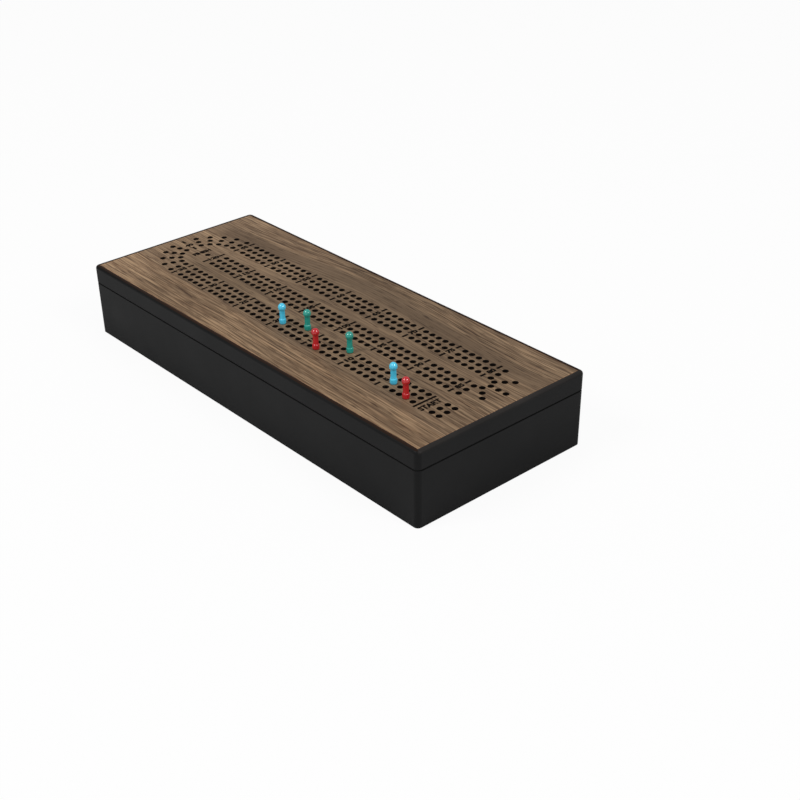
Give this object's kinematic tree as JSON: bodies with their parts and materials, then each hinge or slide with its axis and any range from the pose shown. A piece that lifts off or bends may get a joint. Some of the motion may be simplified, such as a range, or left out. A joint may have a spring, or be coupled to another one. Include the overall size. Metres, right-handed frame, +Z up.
{
  "type": "cribbage box",
  "caption": "Long flat black wooden box whose hinged lid is a walnut cribbage board with drilled tracks of peg holes and ball-headed pegs.",
  "frame": {"origin": "middle of the box's underside, on the surface that it stands on", "axes": "+X along the box towards the START end of the board, +Y from the plain front towards the hinges at the back, +Z up"},
  "size_m": [0.292, 0.119, 0.0572],
  "materials": {
    "black_lacquered_wood": "satin black lacquer",
    "walnut": "matt walnut veneer",
    "black_felt": "short pile felt",
    "hinge_brass": "plain brass",
    "peg_red": "glossy red",
    "peg_blue": "glossy light blue",
    "peg_green": "glossy teal green"
  },
  "bodies": {
    "box_base": {"base_front_wall": "black_lacquered_wood", "base_back_wall": "black_lacquered_wood", "base_left_wall": "black_lacquered_wood", "base_right_wall": "black_lacquered_wood", "base_bottom_panel": "black_lacquered_wood", "divider_left": "black_lacquered_wood", "divider_right": "black_lacquered_wood", "felt_card_well_left": "black_felt", "felt_peg_well": "black_felt", "felt_card_well_right": "black_felt", "hinge_base_leaf_left": "hinge_brass", "hinge_base_leaf_right": "hinge_brass", "hinge_pin_left": "hinge_brass", "hinge_pin_right": "hinge_brass"},
    "lid": {"lid_front_rail": "black_lacquered_wood", "lid_back_rail": "black_lacquered_wood", "lid_left_rail": "black_lacquered_wood", "lid_right_rail": "black_lacquered_wood", "playing_board": "walnut", "lid_lining": "black_felt", "hinge_lid_leaf_left": "hinge_brass", "hinge_lid_leaf_right": "hinge_brass"},
    "peg_red_front": {"peg_red_front": "peg_red"},
    "peg_red_back": {"peg_red_back": "peg_red"},
    "peg_blue_front": {"peg_blue_front": "peg_blue"},
    "peg_blue_back": {"peg_blue_back": "peg_blue"},
    "peg_green_front": {"peg_green_front": "peg_green"},
    "peg_green_back": {"peg_green_back": "peg_green"}
  },
  "joints": [
    {"name": "lid_hinge", "type": "hinge", "parent": "box_base", "child": "lid", "pos_m": [0, 0.05825, 0.03385], "axis": [-1, 0, 0], "range_deg": [0, 95]},
    {"name": "peg_red_front_pull", "type": "slide", "parent": "lid", "child": "peg_red_front", "axis": [0, 0, 1], "range_m": [0, 0.012]},
    {"name": "peg_red_back_pull", "type": "slide", "parent": "lid", "child": "peg_red_back", "axis": [0, 0, 1], "range_m": [0, 0.012]},
    {"name": "peg_blue_front_pull", "type": "slide", "parent": "lid", "child": "peg_blue_front", "axis": [0, 0, 1], "range_m": [0, 0.012]},
    {"name": "peg_blue_back_pull", "type": "slide", "parent": "lid", "child": "peg_blue_back", "axis": [0, 0, 1], "range_m": [0, 0.012]},
    {"name": "peg_green_front_pull", "type": "slide", "parent": "lid", "child": "peg_green_front", "axis": [0, 0, 1], "range_m": [0, 0.012]},
    {"name": "peg_green_back_pull", "type": "slide", "parent": "lid", "child": "peg_green_back", "axis": [0, 0, 1], "range_m": [0, 0.012]}
  ]
}
